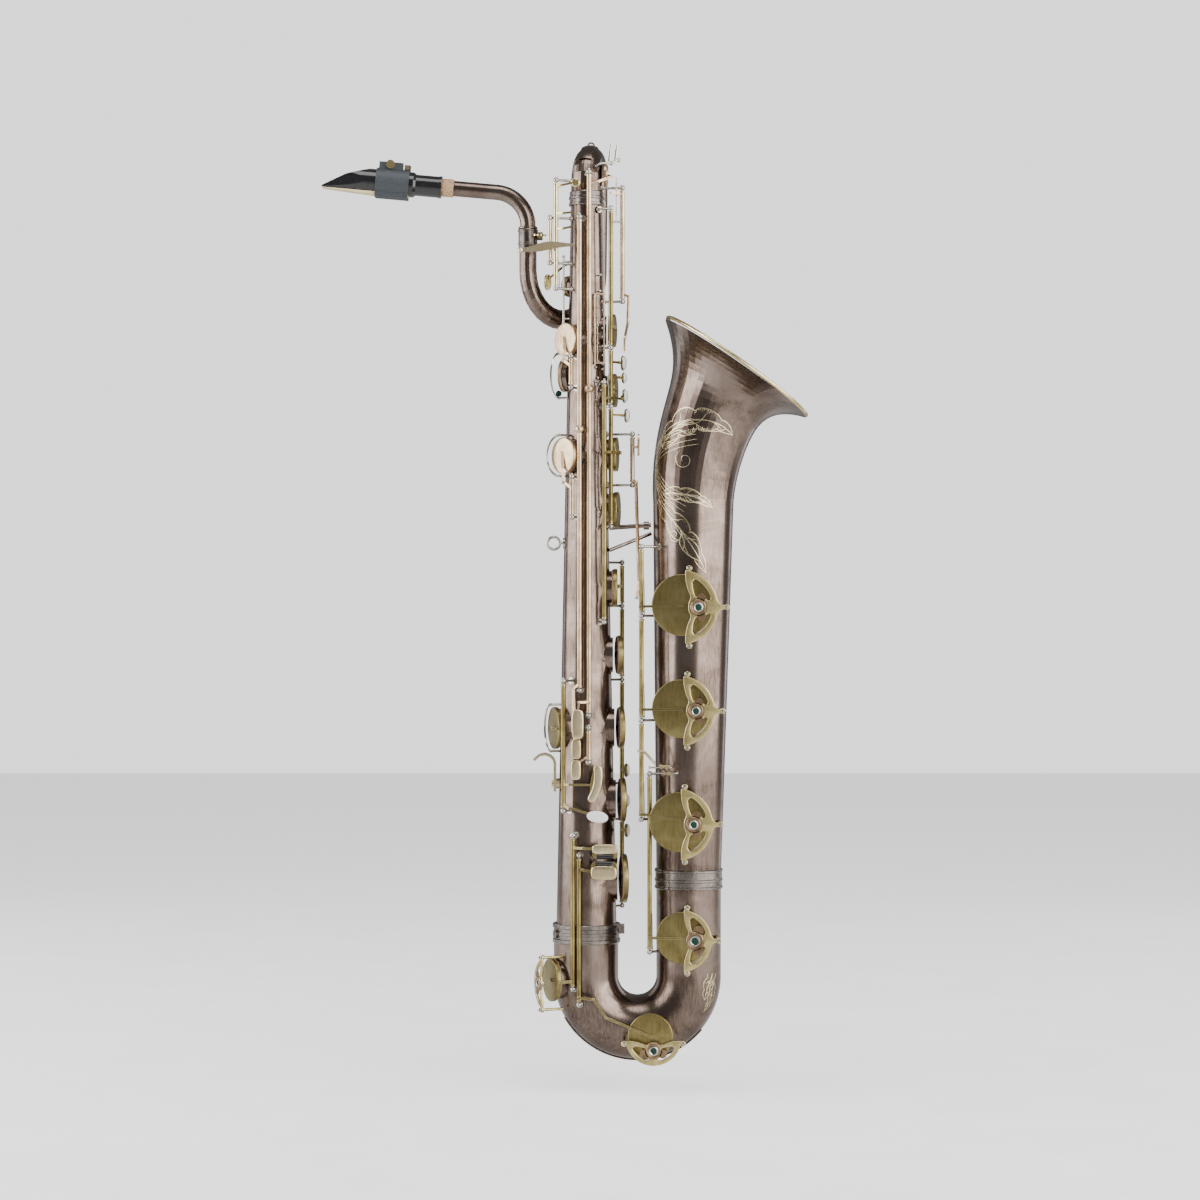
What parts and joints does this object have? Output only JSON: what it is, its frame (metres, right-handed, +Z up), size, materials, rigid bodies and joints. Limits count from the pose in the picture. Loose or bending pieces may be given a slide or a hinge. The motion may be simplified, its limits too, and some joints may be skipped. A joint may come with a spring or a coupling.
{
  "type": "baritone saxophone",
  "caption": "Baritone saxophone in antique bronze with brass keywork, curved neck, mouthpiece and upright bell; hangs by its strap ring.",
  "frame": {"origin": "centre of the strap ring's hole", "axes": "+Z up along the body tube, +X from the body tube towards the bell, -Y towards the side with the bell keys"},
  "size_m": [0.5124, 0.182, 0.9703],
  "materials": {
    "body_lacquer": "dark antique bronze, satin gloss with patina mottling",
    "ferrules": "dark bronze, brushed",
    "rim_brass": "bright brass, worn",
    "guard_brass": "brushed antique brass",
    "key_brass": "brushed antique brass",
    "copper_brass": "copper-toned brass, satin",
    "nickel": "nickel silver, polished and tarnished",
    "cork": "natural cork",
    "ebonite": "polished black ebonite",
    "cane": "natural cane",
    "ligature_leather": "dark slate leather band"
  },
  "bodies": {
    "root": {"body_tube": "body_lacquer", "body_bow_ring": "ferrules", "bow": "body_lacquer", "bow_guard": "body_lacquer", "bell_bow_ferrule": "ferrules", "bell_stem": "body_lacquer", "bell_flare": "body_lacquer", "bell_rim": "rim_brass", "bell_brace": "body_lacquer", "upper_bow_ferrule": "ferrules", "upper_bow": "body_lacquer", "upper_bow_guard": "body_lacquer", "upper_loop": "body_lacquer", "neck_receiver": "ferrules", "strap_ring": "nickel", "thumb_hook": "nickel", "key_posts": "nickel", "hinge_rods": "nickel", "guard_low_a": "guard_brass", "guard_low_b_flat": "guard_brass", "guard_low_b": "guard_brass", "guard_low_c_sharp": "guard_brass", "guard_low_c": "guard_brass", "guard_low_e_flat": "guard_brass", "guard_bumpers": "nickel", "side_guards": "nickel"},
    "neck": {"neck": "body_lacquer", "neck_cork": "cork"},
    "mouthpiece": {"mouthpiece": "ebonite", "reed": "cane", "ligature": "ligature_leather"},
    "neck_screw": {"neck_screw": "rim_brass"},
    "ligature_screw_front": {"ligature_screw_front": "rim_brass"},
    "ligature_screw_rear": {"ligature_screw_rear": "rim_brass"},
    "key_low_a": {"key_low_a": "key_brass"},
    "key_low_b_flat": {"key_low_b_flat": "key_brass"},
    "key_low_b": {"key_low_b": "key_brass"},
    "key_low_c_sharp": {"key_low_c_sharp": "key_brass"},
    "key_low_c": {"key_low_c": "key_brass"},
    "key_low_e_flat": {"key_low_e_flat": "key_brass"},
    "key_c": {"key_c": "key_brass"},
    "key_b": {"key_b": "key_brass"},
    "key_a": {"key_a": "key_brass"},
    "key_g": {"key_g": "key_brass"},
    "key_g_sharp": {"key_g_sharp": "key_brass"},
    "key_f_sharp": {"key_f_sharp": "key_brass"},
    "key_f": {"key_f": "key_brass"},
    "key_e": {"key_e": "key_brass"},
    "key_d": {"key_d": "key_brass"},
    "key_side_c": {"key_side_c": "copper_brass"},
    "lever_side_c": {"lever_side_c": "copper_brass"},
    "key_side_b_flat": {"key_side_b_flat": "copper_brass"},
    "lever_side_b_flat": {"lever_side_b_flat": "copper_brass"},
    "key_high_e": {"key_high_e": "copper_brass"},
    "key_trill": {"key_trill": "key_brass"},
    "octave_lever": {"octave_lever": "rim_brass"},
    "octave_vent_key": {"octave_vent_key": "rim_brass"},
    "front_f_lever": {"front_f_lever": "copper_brass"},
    "palm_key_d": {"palm_key_d": "key_brass"},
    "table_lever": {"table_lever": "copper_brass"}
  },
  "joints": [
    {"name": "low_a_hinge", "type": "hinge", "parent": "root", "child": "key_low_a", "pos_m": [0.0918, -0.036, -0.0401], "axis": [0, 0, 1], "range_deg": [0, 9], "stiffness_Nm_per_rad": 0.4, "springref_deg": -8.59},
    {"name": "low_b_flat_hinge", "type": "hinge", "parent": "root", "child": "key_low_b_flat", "pos_m": [0.0918, -0.036, -0.1307], "axis": [0, 0, 1], "range_deg": [0, 9], "stiffness_Nm_per_rad": 0.4, "springref_deg": -8.59},
    {"name": "low_b_hinge", "type": "hinge", "parent": "root", "child": "key_low_b", "pos_m": [0.0918, -0.036, -0.2367], "axis": [0, 0, 1], "range_deg": [0, 9], "stiffness_Nm_per_rad": 0.4, "springref_deg": -8.59},
    {"name": "low_c_sharp_hinge", "type": "hinge", "parent": "root", "child": "key_low_c_sharp", "pos_m": [0.1004, -0.0355, -0.3336], "axis": [0, 0, 1], "range_deg": [0, 9], "stiffness_Nm_per_rad": 0.4, "springref_deg": -8.59},
    {"name": "low_c_hinge", "type": "hinge", "parent": "root", "child": "key_low_c", "pos_m": [0.0267, -0.0378, -0.4036], "axis": [0, 0, 1], "range_deg": [0, 6.5], "stiffness_Nm_per_rad": 0.4, "springref_deg": -8.59},
    {"name": "low_e_flat_hinge", "type": "hinge", "parent": "root", "child": "key_low_e_flat", "pos_m": [0.0203, -0.037, -0.385], "axis": [0, 0, 1], "range_deg": [0, 12], "stiffness_Nm_per_rad": 0.4, "springref_deg": -8.59},
    {"name": "c_hinge", "type": "hinge", "parent": "root", "child": "key_c", "pos_m": [0.06, -0.025, 0.277], "axis": [0, 0, 1], "range_deg": [0, 7.35], "stiffness_Nm_per_rad": 0.15, "springref_deg": -8.59},
    {"name": "b_hinge", "type": "hinge", "parent": "root", "child": "key_b", "pos_m": [0.06, -0.025, 0.1735], "axis": [0, 0, 1], "range_deg": [0, 7.35], "stiffness_Nm_per_rad": 0.15, "springref_deg": -8.59},
    {"name": "g_hinge", "type": "hinge", "parent": "root", "child": "key_g", "pos_m": [0.06, -0.025, 0.08], "axis": [0, 0, 1], "range_deg": [0, 7.35], "stiffness_Nm_per_rad": 0.15, "springref_deg": -8.59},
    {"name": "a_hinge", "type": "hinge", "parent": "root", "child": "key_a", "pos_m": [0.0532, -0.029, 0.04265], "axis": [0, 0, 1], "range_deg": [0, 6.34], "stiffness_Nm_per_rad": 0.15, "springref_deg": -8.59},
    {"name": "g_sharp_hinge", "type": "hinge", "parent": "root", "child": "key_g_sharp", "pos_m": [0.072, 0.03, -0.043], "axis": [0, 0, 1], "range_deg": [0, 8], "stiffness_Nm_per_rad": 0.15, "springref_deg": -8.59},
    {"name": "f_sharp_hinge", "type": "hinge", "parent": "root", "child": "key_f_sharp", "pos_m": [0.072, 0.03, -0.1051], "axis": [0, 0, 1], "range_deg": [-6.12, 0], "stiffness_Nm_per_rad": 0.15, "springref_deg": 8.59},
    {"name": "f_hinge", "type": "hinge", "parent": "root", "child": "key_f", "pos_m": [0.072, 0.03, -0.1992], "axis": [0, 0, 1], "range_deg": [-6.12, 0], "stiffness_Nm_per_rad": 0.4, "springref_deg": 8.59},
    {"name": "e_hinge", "type": "hinge", "parent": "root", "child": "key_e", "pos_m": [0.072, 0.03, -0.2732], "axis": [0, 0, 1], "range_deg": [-6.12, 0], "stiffness_Nm_per_rad": 0.4, "springref_deg": 8.59},
    {"name": "d_hinge", "type": "hinge", "parent": "root", "child": "key_d", "pos_m": [0.072, 0.03, -0.3382], "axis": [0, 0, 1], "range_deg": [-6.12, 0], "stiffness_Nm_per_rad": 0.4, "springref_deg": 8.59},
    {"name": "side_c_cup_hinge", "type": "hinge", "parent": "root", "child": "key_side_c", "pos_m": [0.0185, -0.028, 0.17875], "axis": [0, 0, 1], "range_deg": [0, 9], "stiffness_Nm_per_rad": 0.15, "springref_deg": -8.59},
    {"name": "side_c_lever_hinge", "type": "hinge", "parent": "root", "child": "lever_side_c", "pos_m": [0.037, -0.034, -0.211], "axis": [0, 0, 1], "range_deg": [-9, 0], "stiffness_Nm_per_rad": 0.15, "springref_deg": 8.59},
    {"name": "side_b_flat_cup_hinge", "type": "hinge", "parent": "root", "child": "key_side_b_flat", "pos_m": [0.0195, -0.0315, 0.048], "axis": [0, 0, 1], "range_deg": [0, 9], "stiffness_Nm_per_rad": 0.15, "springref_deg": -8.59},
    {"name": "side_b_flat_lever_hinge", "type": "hinge", "parent": "root", "child": "lever_side_b_flat", "pos_m": [0.0272, -0.0336, 0.0932], "axis": [0, 0, 1], "range_deg": [0, 9], "stiffness_Nm_per_rad": 0.15, "springref_deg": -8.59},
    {"name": "high_e_hinge", "type": "hinge", "parent": "root", "child": "key_high_e", "pos_m": [0.0373, -0.0312, 0.10355], "axis": [0, 0, 1], "range_deg": [-7, 0], "stiffness_Nm_per_rad": 0.4, "springref_deg": 8.59},
    {"name": "trill_hinge", "type": "hinge", "parent": "root", "child": "key_trill", "pos_m": [0.0104, -0.033, -0.2118], "axis": [0, 0, 1], "range_deg": [0, 8], "stiffness_Nm_per_rad": 0.4, "springref_deg": -8.59},
    {"name": "octave_lever_hinge", "type": "hinge", "parent": "root", "child": "octave_lever", "pos_m": [-0.0038, -0.014, 0.3175], "axis": [0, 0, 1], "range_deg": [-3, 3], "stiffness_Nm_per_rad": 0.15},
    {"name": "octave_vent_hinge", "type": "hinge", "parent": "root", "child": "octave_vent_key", "pos_m": [0.0025, -0.017, 0.3236], "axis": [0, 0, 1], "range_deg": [-6, 0], "stiffness_Nm_per_rad": 0.15, "springref_deg": 8.59},
    {"name": "front_f_hinge", "type": "hinge", "parent": "root", "child": "front_f_lever", "pos_m": [0.0723, -0.006, 0.3137], "axis": [0, 0, 1], "range_deg": [0, 6], "stiffness_Nm_per_rad": 0.15, "springref_deg": -8.59},
    {"name": "palm_d_hinge", "type": "hinge", "parent": "root", "child": "palm_key_d", "pos_m": [0.0253, 0.0273, 0.296], "axis": [0, 0, 1], "range_deg": [-10, 0], "stiffness_Nm_per_rad": 0.15, "springref_deg": 8.59},
    {"name": "table_lever_hinge", "type": "hinge", "parent": "root", "child": "table_lever", "pos_m": [0.0827, -0.008, 0.0877], "axis": [0, 0, 1], "range_deg": [0, 5], "stiffness_Nm_per_rad": 0.15, "springref_deg": -8.59},
    {"name": "neck_swivel", "type": "hinge", "parent": "root", "child": "neck", "pos_m": [-0.0275, 0.014, 0.322], "axis": [0, 0, 1], "range_deg": [-30, 30]},
    {"name": "mouthpiece_slide", "type": "slide", "parent": "neck", "child": "mouthpiece", "axis": [-0.9962, 0, 0.0872], "range_m": [0, 0.008]},
    {"name": "neck_screw_turn", "type": "hinge", "parent": "root", "child": "neck_screw", "pos_m": [-0.0149, 0.014, 0.325], "axis": [0, 1, 0], "continuous": true},
    {"name": "ligature_screw_front_turn", "type": "hinge", "parent": "mouthpiece", "child": "ligature_screw_front", "pos_m": [-0.17227, 0.014, 0.40023], "axis": [0, 1, 0], "continuous": true},
    {"name": "ligature_screw_rear_turn", "type": "hinge", "parent": "mouthpiece", "child": "ligature_screw_rear", "pos_m": [-0.15454, 0.014, 0.39637], "axis": [0, 1, 0], "continuous": true}
  ],
  "couplings": [
    {"joint": "side_c_cup_hinge", "follows": "side_c_lever_hinge", "ratio": -1},
    {"joint": "side_b_flat_cup_hinge", "follows": "side_b_flat_lever_hinge", "ratio": 1},
    {"joint": "low_b_hinge", "follows": "table_lever_hinge", "ratio": 1.8}
  ]
}
